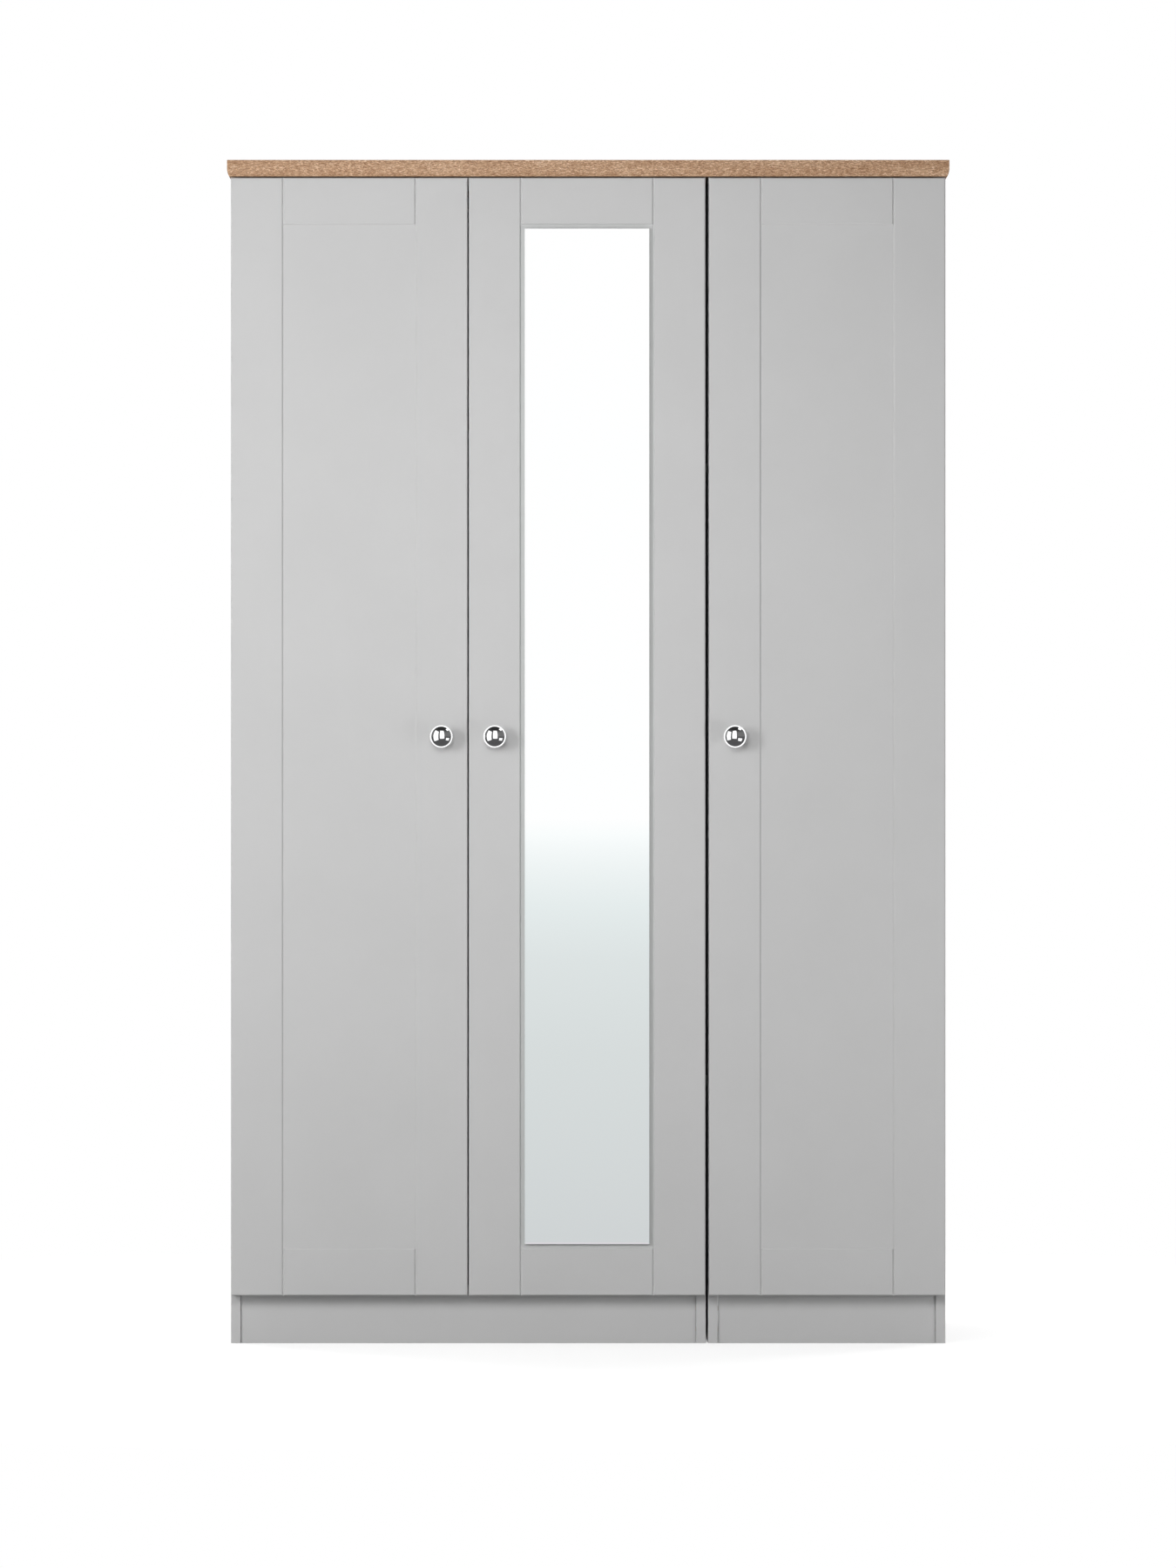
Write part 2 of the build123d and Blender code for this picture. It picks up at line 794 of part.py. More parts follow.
def hinge_arm():
    """The cranked arm from the pin to its seat on the mounting plate."""
    with BuildPart() as arm:
        with BuildSketch(Plane.XY):
            Circle(eye_radius)
            with Locations((arm_outer / 2, 0)):
                Rectangle(arm_outer, arm_sheet)
            with Locations((arm_offset + arm_sheet / 2, (plate_high - arm_sheet / 2) / 2)):
                Rectangle(arm_sheet, plate_high + arm_sheet / 2)
            Circle(pin_radius + pin_running, mode=Mode.SUBTRACT)
        extrude(amount=arm_width / 2, both=True)
        half_seat = arm_seat_width / 2
        slab((arm_offset, plate_low, -half_seat), (arm_outer, plate_high, half_seat))
        for side in (-1, 1):
            edges = sorted((side * half_seat, side * (half_seat - arm_lip_sheet)))
            slab((arm_offset - arm_lip_depth, plate_low, edges[0]), (arm_outer, plate_high, edges[1]))
        with Locations(*spots([(arm_outer, carcase_edge + arm_screw_line, 0)], RIGHT)):
            Hole(screw_radius + screw_fit, arm_sheet)
    return arm.part


def hinge_plate():
    """The mounting plate on the side board, under the arm."""
    half_width = plate_width / 2
    half_wing = plate_wing_length / 2
    wing_middle = carcase_edge + plate_screw_line
    wing_face = panel_face + plate_wing_sheet
    with BuildPart() as plate:
        slab((panel_face, plate_low, -half_width), (arm_offset, plate_high, half_width))
        slab(
            (panel_face, wing_middle - plate_wing_width / 2, -half_wing),
            (wing_face, wing_middle + plate_wing_width / 2, half_wing),
        )
        ends = [(wing_face, wing_middle, side * plate_screw_spacing / 2) for side in (-1, 1)]
        with Locations(*spots(ends, RIGHT)):
            Hole(plate_screw_radius + screw_fit, plate_wing_sheet)
        with Locations(*spots([(arm_offset, carcase_edge + arm_screw_line, 0)], RIGHT)):
            Hole(screw_radius + screw_fit, arm_offset - panel_face)
    return plate.part


def make_hinge_mounts():
    """Mounting plates, arms and their screws, for all the doors."""
    pieces = {"hinge_plates": hinge_plate(), "hinge_arms": hinge_arm()}
    for name, piece in pieces.items():
        with BuildPart() as group:
            for door in doors:
                with Locations(*pivots(door)):
                    add(hung(piece, door))
        save(group.part, name)
    plate_seats = []
    arm_seats = []
    for door in doors:
        facing = (door.hand, 0, 0)
        pin_x = hinge_edge(door) + door.hand * pin_inset
        arm_face = pin_x + door.hand * arm_outer
        wing_face = pin_x + door.hand * (panel_face + plate_wing_sheet)
        arm_seats += spots([(arm_face, front + arm_screw_line, z) for z in hinge_heights()], facing)
        plate_seats += spots(plate_screw_points(wing_face), facing)
    plate_screw = screw(plate_screw_length, plate_screw_radius, plate_screw_head_radius, screw_head_height)
    arm_screw = wood_screw(arm_screw_length)
    save_group(plate_screw, plate_seats, "hinge_plate_screws")
    save_group(arm_screw, arm_seats, "hinge_arm_screws")


# Doors
def make_door(door):
    """A door: eased edges, grooves along both stiles, a lowered centre panel and the hinge borings."""
    right_x = door.left + door_width
    middle_x = door.left + door_width / 2
    half_groove = groove_width / 2
    panel_width = door_width - 2 * stile_line
    panel_height = door_height - 2 * rail_width - groove_width
    with BuildPart() as leaf:
        slab((door.left, door_front, door_low), (right_x, door_back, door_high))
        fillet(leaf.faces().sort_by(Axis.Y)[0].edges(), radius=door_front_radius)
        chamfer(leaf.faces().sort_by(Axis.Y)[-1].edges(), length=door_back_chamfer)
        with BuildSketch(Plane.XY.offset(door_low)):
            for x in (door.left + stile_line, right_x - stile_line):
                with BuildLine():
                    Polyline(
                        (x - half_groove, door_front),
                        (x, door_front + groove_depth),
                        (x + half_groove, door_front),
                        close=True,
                    )
                make_face()
        extrude(amount=door_height, mode=Mode.SUBTRACT)
        face = Plane(origin=(middle_x, door_front, door_middle), x_dir=(1, 0, 0), z_dir=FRONT)
        with BuildSketch(face):
            Rectangle(panel_width + groove_width, panel_height + groove_width)
        with BuildSketch(face.offset(-groove_depth)):
            Rectangle(panel_width, panel_height)
        loft(mode=Mode.SUBTRACT)
        cup_x = hinge_edge(door) + door.hand * (cup_tab + cup_radius)
        with Locations(*spots([(cup_x, door_back, z) for z in hinge_heights()], BACK)):
            Hole(cup_radius + cup_fit, cup_depth + cup_fit)
        with Locations(*spots(cup_screw_points(door, door_back), BACK)):
            Hole(screw_radius + screw_fit, cup_screw_length - cup_flange + end_play)
        with Locations(*spots([knob_point(door, door_back)], BACK)):
            Hole(knob_screw_radius + screw_fit)
    save(leaf.part, f"{door.name}_door")


def knob_point(door, y):
    """The knob axis on a face across Y."""
    return (free_edge(door) - door.hand * knob_inset, y, door_middle)


def knob():
    """A round mushroom knob standing on the origin, with a narrow flat rim round its dome."""
    neck_end = (knob_neck_radius, knob_neck_high)
    rim_low = (knob_rim_radius, knob_rim_low)
    rim_high = (knob_rim_radius, knob_rim_face - knob_rim_round)
    rim_face = (knob_rim_radius - knob_rim_round, knob_rim_face)
    dome_edge = (knob_dome_radius, knob_rim_face)
    with BuildPart() as turned:
        with BuildSketch(Plane.XZ):
            with BuildLine():
                Polyline(
                    (0, knob_projection),
                    (0, 0),
                    (knob_base_radius, 0),
                    (knob_base_radius, knob_base_height),
                    (knob_neck_radius, knob_neck_low),
                    neck_end,
                )
                TangentArc(rim_low, neck_end, tangent=(-1, 0))
                Line(rim_low, rim_high)
                TangentArc(rim_high, rim_face, tangent=(0, 1))
                Line(rim_face, dome_edge)
                TangentArc((0, knob_projection), dome_edge, tangent=(1, 0))
            make_face()
        revolve(axis=Axis.Z)
        with BuildSketch(Plane.XY):
            Circle(knob_screw_radius + screw_fit)
        extrude(amount=knob_screw_grip + end_play, mode=Mode.SUBTRACT)
    return turned.part


def make_door_fittings(door):
    """Knob, knob screw, hinge cups with their pins and screws, and the buffers of a door."""
    knob_screw = screw(
        door_thickness + knob_screw_grip, knob_screw_radius, knob_screw_head_radius, knob_screw_head_height
    )
    save_group(knob(), spots([knob_point(door, door_front)], FRONT), f"{door.name}_knob")
    save_group(knob_screw, spots([knob_point(door, door_back)], BACK), f"{door.name}_knob_screw")

    hinge_pieces = {"hinge_cups": hinge_cup(), "hinge_pins": hinge_pin()}
    for name, piece in hinge_pieces.items():
        with BuildPart() as group:
            with Locations(*pivots(door)):
                add(hung(piece, door))
        save(group.part, f"{door.name}_{name}")

    cup_seats = spots(cup_screw_points(door, door_back + cup_flange), BACK)
    cup_screw = wood_screw(cup_screw_length)
    save_group(cup_screw, cup_seats, f"{door.name}_cup_screws")

    buffer_x = free_edge(door) - door.hand * buffer_inset
    with BuildPart() as buffers:
        for start in spots([(buffer_x, door_back, z) for z in (bottom_middle, stretcher_middle)], BACK):
            with BuildSketch(start):
                Circle(buffer_radius)
            extrude(amount=door_standoff)
    save(buffers.part, f"{door.name}_buffers")


# Mirror
def make_mirror(door):
    """A bevelled mirror plate on adhesive strips, on the lowered panel of its door."""
    width = door_width - 2 * stile_line - 2 * mirror_side_margin
    panel_height = door_height - 2 * rail_width - groove_width
    height = panel_height - mirror_top_margin - mirror_bottom_margin
    plate_middle = door_middle + (mirror_bottom_margin - mirror_top_margin) / 2
    plate_centre = (door.left + door_width / 2, door_front + groove_depth, plate_middle)
    panel = Plane(origin=plate_centre, x_dir=(1, 0, 0), z_dir=FRONT)
    plate_back = panel.offset(tape_thickness)
    bevel_start = plate_back.offset(mirror_thickness - mirror_bevel_depth)
    with BuildPart() as plate:
        with BuildSketch(plate_back):
            Rectangle(width, height)
        extrude(amount=mirror_thickness - mirror_bevel_depth)
        with BuildSketch(bevel_start):
            Rectangle(width, height)
        with BuildSketch(bevel_start.offset(mirror_bevel_depth)):
            Rectangle(width - 2 * mirror_bevel_width, height - 2 * mirror_bevel_width)
        loft()
    save(plate.part, "mirror_plate")

    across = width / 2 - tape_side_inset
    along = height / 2 - tape_end_inset
    with BuildPart() as tape:
        with BuildSketch(panel):
            with Locations(*[(x, z) for x in (-across, across) for z in spread(-along, along, tape_rows)]):
                Rectangle(tape_width, tape_length)
        extrude(amount=tape_thickness)
    save(tape.part, "mirror_tape")


os.makedirs("parts", exist_ok=True)

make_side("double_left_side", double_left, 1, hinged=True, bolted=False)
make_side("double_right_side", double_right, -1, hinged=True, bolted=True)
make_side("single_left_side", single_left, 1, hinged=False, bolted=True)
make_side("single_right_side", single_right, -1, hinged=True, bolted=False)
for each_unit in units:
    make_unit_boards(each_unit)
    make_back(each_unit)
    make_tube(each_unit)
make_top()
make_sockets()
make_dowels()
make_unit_bolts()
make_top_screws()
make_back_nails()
make_plinth_blocks()
make_wall_brackets()
make_hinge_mounts()
for each_door in doors:
    make_door(each_door)
    make_door_fittings(each_door)
    if each_door.name == "mirror":
        make_mirror(each_door)
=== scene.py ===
"""Looks of the three-door wardrobe: the finish of every piece, the studio and the camera."""
import json
import math

import bpy
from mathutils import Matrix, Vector


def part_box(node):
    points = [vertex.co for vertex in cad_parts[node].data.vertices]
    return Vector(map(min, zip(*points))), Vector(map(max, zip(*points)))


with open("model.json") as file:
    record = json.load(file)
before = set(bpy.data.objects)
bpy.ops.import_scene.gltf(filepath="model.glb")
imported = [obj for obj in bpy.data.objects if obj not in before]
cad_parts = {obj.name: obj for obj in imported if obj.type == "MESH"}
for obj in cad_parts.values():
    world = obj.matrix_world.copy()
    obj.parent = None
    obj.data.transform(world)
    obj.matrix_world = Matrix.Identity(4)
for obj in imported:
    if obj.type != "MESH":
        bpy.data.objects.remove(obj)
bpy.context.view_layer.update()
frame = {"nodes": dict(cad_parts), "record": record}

# Places taken from the frame, in metres
door_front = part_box("left_door")[0].y
carcase_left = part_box("double_left_side")[0].x
carcase_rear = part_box("double_left_side")[1].y
plinth_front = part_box("double_plinth")[0].y

# Camera, as the photograph was taken
camera_distance = 12.0       # in front of the doors
camera_height = 0.8611
camera_aside = -0.0003
camera_reach = 500.0         # the furthest thing that it draws
frame_height = 2.410         # what the frame shows from top to bottom at the door fronts
sensor_size = 36.0           # millimetres

# Studio levels
white = (1.0, 1.0, 1.0, 1.0)
fill_low = (0.05, 0.05, 0.05, 1.0)       # soft light from level
fill_high = (0.32, 0.32, 0.32, 1.0)      # and from overhead
hall_grey = (0.17, 0.17, 0.17, 1.0)      # what polished metal shows round about
ceiling_dark = (0.03, 0.03, 0.03, 1.0)   # and overhead
ceiling_start = 0.45                     # upward part of a direction where the ceiling begins
ceiling_full = 0.85                      # and where it is reached
card_glow = 1.25
lamp_target = (0.0, door_front, 1.0)     # the middle of the doors

# Floor
floor_half = 300.0                       # half its width
floor_grey = (0.5, 0.5, 0.5, 1.0)
floor_glow = 0.64                        # added to what the lamps give, around the wardrobe
painted_shadow_glow = 0.1                   # and under it, a painted shadow beneath the wardrobe over the lamps' real one
painted_shadow_fade = 0.1                     # how far inside the footprint the glow falls off into the painted shadow
white_start = 0.9                        # distance from the middle where plain white begins
white_full = 2.2                         # and where it is reached

# Surfaces
noise_low = 0.3                          # most values of a noise lie between these two
noise_high = 0.7
square_on = 0.7                          # least facing along an axis for a surface square to it
rear_edge_depth = 0.0004                 # what counts as the rear edge of a carcase board
grain_sway = 0.006                       # how far the oak grain wavers to either side
broad_face_scale = 0.3                   # along the grain, less means longer streaks
band_share = 0.18                        # part of the oak's tone from broad bands, the rest from streaks
grain_relief = 0.4                       # height of the streaks for pores one deep

# Places of the colour sockets on a Mix node, whose names repeat
mix_share = 0
mix_first = 6
mix_second = 7
mix_result = 2


# Shader helpers
def colour(red, green, blue):
    """A screen colour from 0 to 255, as linear red, green, blue and alpha."""
    steps = [channel / 255 for channel in (red, green, blue)]
    return tuple(c / 12.92 if c <= 0.04045 else ((c + 0.055) / 1.055) ** 2.4 for c in steps) + (1.0,)


def feed(tree, socket, value):
    """Links an output to the socket, or sets the socket's own value."""
    if isinstance(value, bpy.types.NodeSocket):
        tree.links.new(value, socket)
    else:
        socket.default_value = value


def add(tree, kind, inputs=None, **settings):
    """A new shader node with its settings and inputs."""
    made = tree.nodes.new("ShaderNode" + kind)
    for name, value in settings.items():
        setattr(made, name, value)
    for name, value in (inputs or {}).items():
        feed(tree, made.inputs[name], value)
    return made


def calc(tree, operation, first, second=0.0):
    """One step of arithmetic on two numbers."""
    return add(tree, "Math", {0: first, 1: second}, operation=operation).outputs[0]


def calc_vector(tree, operation, first, second):
    """One step of arithmetic on two vectors."""
    return add(tree, "VectorMath", {0: first, 1: second}, operation=operation).outputs["Vector"]


def split(tree, vector):
    """A vector's x, y and z."""
    return add(tree, "SeparateXYZ", {"Vector": vector}).outputs


def joined(tree, x, y, z):
    """A vector from its x, y and z."""
    return add(tree, "CombineXYZ", {"X": x, "Y": y, "Z": z}).outputs["Vector"]


def rescale(tree, value, low, high, new_low=0.0, new_high=1.0):
    """Maps a range onto another, held at its ends."""
    inputs = {"Value": value, "From Min": low, "From Max": high, "To Min": new_low, "To Max": new_high}
    return add(tree, "MapRange", inputs).outputs["Result"]


def ramp(tree, value, stops):
    """Colours along a value, from (position, colour) pairs."""
    made = add(tree, "ValToRGB", {"Fac": value})
    points = made.color_ramp.elements
    while len(points) < len(stops):
        points.new(1.0)
    for point, (position, shade) in zip(points, stops):
        point.position = position
        point.color = shade
    return made.outputs["Color"]


def mix(tree, share, first, second, blend="MIX"):
    """A colour between two, by a share of the second."""
    inputs = {mix_share: share, mix_first: first, mix_second: second}
    return add(tree, "Mix", inputs, data_type="RGBA", blend_type=blend).outputs[mix_result]


def mix_shaders(tree, share, first, second):
    """A shader between two, by a share of the second."""
    return add(tree, "MixShader", {0: share, 1: first, 2: second}).outputs[0]


def emission(tree, shade, strength=1.0):
    """A shader that glows by itself."""
    return add(tree, "Emission", {"Color": shade, "Strength": strength}).outputs["Emission"]


def place(tree):
    """A point's place in the object's own frame."""
    return add(tree, "TexCoord").outputs["Object"]


def facing(tree):
    """The way that the surface faces in the object's own frame, as x, y and z."""
    return split(tree, add(tree, "TexCoord").outputs["Normal"])


def stretched(tree, vector, x, y, z):
    """Coordinates for a texture whose features repeat x, y and z times a metre."""
    return add(tree, "Mapping", {"Vector": vector, "Scale": (x, y, z)}).outputs["Vector"]


def noise(tree, vector, scale=1.0, detail=3.0, roughness=0.55):
    """A noise value about one half."""
    inputs = {"Vector": vector, "Scale": scale, "Detail": detail, "Roughness": roughness}
    return add(tree, "TexNoise", inputs).outputs["Fac"]


def bump(tree, shader, height, distance):
    """Raises the surface by a height that is distance metres tall at one."""
    made = add(tree, "Bump", {"Height": height, "Distance": distance})
    feed(tree, shader.inputs["Normal"], made.outputs["Normal"])


def vary_colour(tree, shader, value, dark, pale):
    """Base colour from dark to pale over the values of a noise."""
    feed(tree, shader.inputs["Base Color"], ramp(tree, value, [(noise_low, dark), (noise_high, pale)]))


def vary_roughness(tree, shader, value, low, high):
    """Roughness from low to high over the values of a noise."""
    feed(tree, shader.inputs["Roughness"], rescale(tree, value, noise_low, noise_high, low, high))


def new_material(name):
    """A node material: itself, its tree and its shader."""
    material = bpy.data.materials.new(name)
    material.use_nodes = True
    return material, material.node_tree, material.node_tree.nodes["Principled BSDF"]


# Grey finishes
def grey_coat(tree, shader, shade, pebble_height):
    """Matt grey foil: a trace of cloudiness, fine pebbling and uneven gloss. Returns its colour."""
    where = place(tree)
    clouds = noise(tree, where, scale=7.0, detail=4.0)
    vary_roughness(tree, shader, noise(tree, where, scale=90.0), 0.46, 0.56)
    bump(tree, shader, noise(tree, where, scale=1400.0, detail=2.0), pebble_height)
    tone = rescale(tree, clouds, noise_low, noise_high, 0.985, 1.015)
    return mix(tree, 1.0, shade, tone, blend="MULTIPLY")


def door_grey():
    """Foil wrapped round the doors."""
    material, tree, shader = new_material("door_grey")
    tone = grey_coat(tree, shader, colour(203, 203, 203), pebble_height=0.00003)
    feed(tree, shader.inputs["Base Color"], tone)
    return material


def chipboard(tree):
    """Cut chipboard: pale and dark flakes pressed together."""
    flakes = stretched(tree, place(tree), 420.0, 420.0, 150.0)
    cells = add(tree, "TexVoronoi", {"Vector": flakes, "Scale": 1.0, "Randomness": 1.0})
    picked = split(tree, cells.outputs["Color"])["X"]
    return ramp(
        tree,
        picked,
        [
            (0.0, colour(126, 96, 66)),
            (0.35, colour(170, 137, 98)),
            (0.7, colour(196, 166, 125)),
            (1.0, colour(216, 192, 155)),
        ],
    )


def carcase_grey():
    """Melamine on the carcase boards, with bare chipboard on the rear edges."""
    material, tree, shader = new_material("carcase_grey")
    tone = grey_coat(tree, shader, colour(204, 204, 204), pebble_height=0.00002)
    depth = split(tree, place(tree))["Y"]
    bare = calc(tree, "GREATER_THAN", depth, carcase_rear - rear_edge_depth)
    feed(tree, shader.inputs["Base Color"], mix(tree, bare, tone, chipboard(tree)))
    return material


def back_board():
    """Thin fibreboard: grey foil inside, bare brown fibres at the back."""
    material, tree, shader = new_material("back_board")
    tone = grey_coat(tree, shader, colour(205, 205, 204), pebble_height=0.00002)
    fibres = noise(tree, stretched(tree, place(tree), 260.0, 260.0, 340.0), detail=6.0, roughness=0.7)
    brown = ramp(
        tree,
        fibres,
        [(0.3, colour(112, 78, 50)), (0.52, colour(142, 103, 69)), (0.75, colour(168, 130, 92))],
    )
    outside = calc(tree, "GREATER_THAN", facing(tree)["Y"], square_on)
    feed(tree, shader.inputs["Base Color"], mix(tree, outside, tone, brown))
    return material


# Oak foil
def oak_grain(tree):
    """Coordinates that run along the grain, waver a little and are drawn out on the broad faces."""
    ways = facing(tree)
    across_end = calc(tree, "GREATER_THAN", calc(tree, "ABSOLUTE", ways["X"]), square_on)
    broad_face = calc(tree, "GREATER_THAN", calc(tree, "ABSOLUTE", ways["Z"]), square_on)
    where = split(tree, place(tree))
    turned = joined(tree, where["Y"], where["X"], where["Z"])
    along = mix(tree, across_end, place(tree), turned)
    waver = noise(tree, stretched(tree, along, 14.0, 30.0, 30.0), detail=2.0)
    shift = rescale(tree, waver, 0.0, 1.0, -grain_sway, grain_sway)
    wavering = calc_vector(tree, "ADD", along, joined(tree, 0.0, shift, shift))
    drawn_out = joined(tree, rescale(tree, broad_face, 0.0, 1.0, 1.0, broad_face_scale), 1.0, 1.0)
    return calc_vector(tree, "MULTIPLY", wavering, drawn_out)


def oak_foil():
    """Oak-effect foil: faint broad bands, fine streaks and dark pores."""
    material, tree, shader = new_material("oak_foil")
    grain = oak_grain(tree)
    bands = noise(tree, stretched(tree, grain, 5.0, 70.0, 70.0))
    streaks = noise(tree, stretched(tree, grain, 150.0, 1400.0, 1400.0), roughness=0.6)
    pores = noise(tree, stretched(tree, grain, 420.0, 1300.0, 1300.0), detail=2.0, roughness=0.5)
    banded = calc(tree, "MULTIPLY", bands, band_share)
    streaked = calc(tree, "MULTIPLY", streaks, 1.0 - band_share)
    body = calc(tree, "ADD", banded, streaked)
    wood = ramp(
        tree,
        body,
        [
            (0.36, colour(139, 100, 69)),
            (0.46, colour(182, 142, 109)),
            (0.54, colour(212, 175, 142)),
            (0.64, colour(245, 216, 188)),
        ],
    )
    pitted = rescale(tree, pores, 0.5, 0.37, 0.0, 0.8)
    feed(tree, shader.inputs["Base Color"], mix(tree, pitted, wood, colour(131, 94, 66)))
    vary_roughness(tree, shader, body, 0.56, 0.44)
    height = calc(tree, "SUBTRACT", calc(tree, "MULTIPLY", body, grain_relief), pitted)
    bump(tree, shader, height, 0.00012)
    return material


# Wood inside the joints
def beech():
    """Plain beech, for the dowels."""
    material, tree, shader = new_material("beech")
    fleck = noise(tree, stretched(tree, place(tree), 180.0, 1500.0, 1500.0))
    wood = ramp(tree, fleck, [(0.35, colour(186, 143, 102)), (0.65, colour(214, 176, 135))])
    feed(tree, shader.inputs["Base Color"], wood)
    shader.inputs["Roughness"].default_value = 0.6
    bump(tree, shader, fleck, 0.00004)
    return material


# Metals and glass
def chrome():
    """Polished plate with faint polishing haze."""
    material, tree, shader = new_material("chrome")
    haze = noise(tree, place(tree), scale=260.0, detail=4.0)
    vary_colour(tree, shader, haze, colour(243, 244, 245), colour(249, 249, 250))
    shader.inputs["Metallic"].default_value = 1.0
    vary_roughness(tree, shader, haze, 0.03, 0.07)
    return material


def zinc_steel():
    """Zinc plated steel: mottled, with fine drawing marks."""
    material, tree, shader = new_material("zinc_steel")
    where = place(tree)
    mottle = noise(tree, where, scale=320.0, detail=4.0)
    vary_colour(tree, shader, mottle, colour(204, 206, 208), colour(228, 229, 230))
    shader.inputs["Metallic"].default_value = 1.0
    vary_roughness(tree, shader, mottle, 0.24, 0.38)
    bump(tree, shader, noise(tree, stretched(tree, where, 900.0, 900.0, 4000.0)), 0.00002)
    return material


def mirror_glass():
    """Silvered glass, green where the cut edge shows."""
    material, tree, shader = new_material("mirror_glass")
    ways = facing(tree)
    side = calc(tree, "MAXIMUM", calc(tree, "ABSOLUTE", ways["X"]), calc(tree, "ABSOLUTE", ways["Z"]))
    cut = calc(tree, "GREATER_THAN", side, square_on)
    streaks = noise(tree, place(tree), scale=3.0)
    silver = ramp(tree, streaks, [(noise_low, colour(254, 255, 255)), (noise_high, colour(255, 255, 255))])
    feed(tree, shader.inputs["Base Color"], mix(tree, cut, silver, colour(150, 178, 168)))
    feed(tree, shader.inputs["Metallic"], calc(tree, "SUBTRACT", 1.0, cut))
    feed(tree, shader.inputs["Roughness"], calc(tree, "MULTIPLY", cut, 0.15))
    return material


# Plastics and foam
def moulded_plastic():
    """Pale moulded plastic with a fine spark-eroded surface."""
    material, tree, shader = new_material("block_plastic")
    grit = noise(tree, place(tree), scale=1800.0, detail=2.0)
    vary_colour(tree, shader, grit, colour(217, 217, 214), colour(226, 226, 223))
    vary_roughness(tree, shader, grit, 0.42, 0.56)
    bump(tree, shader, grit, 0.00003)
    return material


def clear_buffer():
    """Soft, almost clear buffer pads."""
    material, tree, shader = new_material("buffer_clear")
    dust = noise(tree, place(tree), scale=900.0)
    vary_colour(tree, shader, dust, colour(224, 226, 226), colour(238, 239, 239))
    vary_roughness(tree, shader, dust, 0.12, 0.28)
    shader.inputs["Transmission Weight"].default_value = 0.55
    shader.inputs["IOR"].default_value = 1.45
    return material


def adhesive_foam():
    """Foam strips with small open cells."""
    material, tree, shader = new_material("adhesive_foam")
    cells = add(tree, "TexVoronoi", {"Vector": place(tree), "Scale": 1600.0}).outputs["Distance"]
    tone = ramp(tree, cells, [(0.0, colour(198, 198, 195)), (0.6, colour(232, 232, 229))])
    feed(tree, shader.inputs["Base Color"], tone)
    shader.inputs["Roughness"].default_value = 0.85
    bump(tree, shader, cells, 0.0001)
    return material


finishes = {
    "door_grey": door_grey(),
    "carcase_grey": carcase_grey(),
    "oak_foil": oak_foil(),
    "back_board": back_board(),
    "beech": beech(),
    "mirror_glass": mirror_glass(),
    "chrome": chrome(),
    "zinc_steel": zinc_steel(),
    "block_plastic": moulded_plastic(),
    "buffer_clear": clear_buffer(),
    "adhesive_foam": adhesive_foam(),
}
for subpart in frame["record"]["subparts"]:
    piece = frame["nodes"][subpart["node"]]
    piece.data.materials.clear()
    piece.data.materials.append(finishes[subpart["material_slot"]])


# Studio
def seen_directly(tree):
    """One for rays from the camera, a mirror or glass, and nought for those that light a surface."""
    path = add(tree, "LightPath").outputs
    mirrored = calc(tree, "MAXIMUM", path["Is Glossy Ray"], path["Is Transmission Ray"])
    return calc(tree, "MAXIMUM", path["Is Camera Ray"], mirrored)


def in_polish(tree):
    """One for rays off polished metal or a satin surface, and nought for those off a perfect mirror."""
    path = add(tree, "LightPath").outputs
    blurred = calc(tree, "SUBTRACT", 1.0, path["Is Singular Ray"])
    return calc(tree, "MULTIPLY", path["Is Glossy Ray"], blurred)


def make_world():
    """White to the camera and the mirror, a grey hall to polished metal, and a soft fill from above."""
    world = bpy.data.worlds.new("studio")
    world.use_nodes = True
    bpy.context.scene.world = world
    tree = world.node_tree
    upward = split(tree, add(tree, "TexCoord").outputs["Generated"])["Z"]
    hall = mix(tree, rescale(tree, upward, ceiling_start, ceiling_full), hall_grey, ceiling_dark)
    shown = tree.nodes["Background"]
    feed(tree, shown.inputs["Color"], mix(tree, in_polish(tree), white, hall))
    soft = mix(tree, rescale(tree, upward, 0.0, 1.0), fill_low, fill_high)
    fill = add(tree, "Background", {"Color": soft})
    either = mix_shaders(tree, seen_directly(tree), fill.outputs[0], shown.outputs[0])
    feed(tree, tree.nodes["World Output"].inputs["Surface"], either)


def level_corners(x_low, x_high, y_low, y_high, z):
    """Corners of a level rectangle."""
    return [(x_low, y_low, z), (x_high, y_low, z), (x_high, y_high, z), (x_low, y_high, z)]


def upright_corners(start, end, z_low, z_high):
    """Corners of an upright rectangle over the line from start to end."""
    return [(*start, z_low), (*end, z_low), (*end, z_high), (*start, z_high)]


def make_sheet(name, corners):
    """A flat sheet with four corners."""
    mesh = bpy.data.meshes.new(name)
    mesh.from_pydata(corners, [], [(0, 1, 2, 3)])
    sheet = bpy.data.objects.new(name, mesh)
    bpy.context.scene.collection.objects.link(sheet)
    return sheet


def bare_tree(sheet):
    """The empty node tree of a new material on a sheet."""
    material = bpy.data.materials.new(sheet.name)
    material.use_nodes = True
    material.node_tree.nodes.clear()
    sheet.data.materials.append(material)
    return material.node_tree


def make_card(name, corners):
    """The lit face of a soft box, which only polished metal and satin surfaces show."""
    card = make_sheet(name, corners)
    for kind in ("camera", "diffuse", "transmission", "volume_scatter", "shadow"):
        setattr(card, "visible_" + kind, False)
    tree = bare_tree(card)
    clear = add(tree, "BsdfTransparent").outputs[0]
    face = mix_shaders(tree, in_polish(tree), clear, emission(tree, white, card_glow))
    add(tree, "OutputMaterial", {"Surface": face})


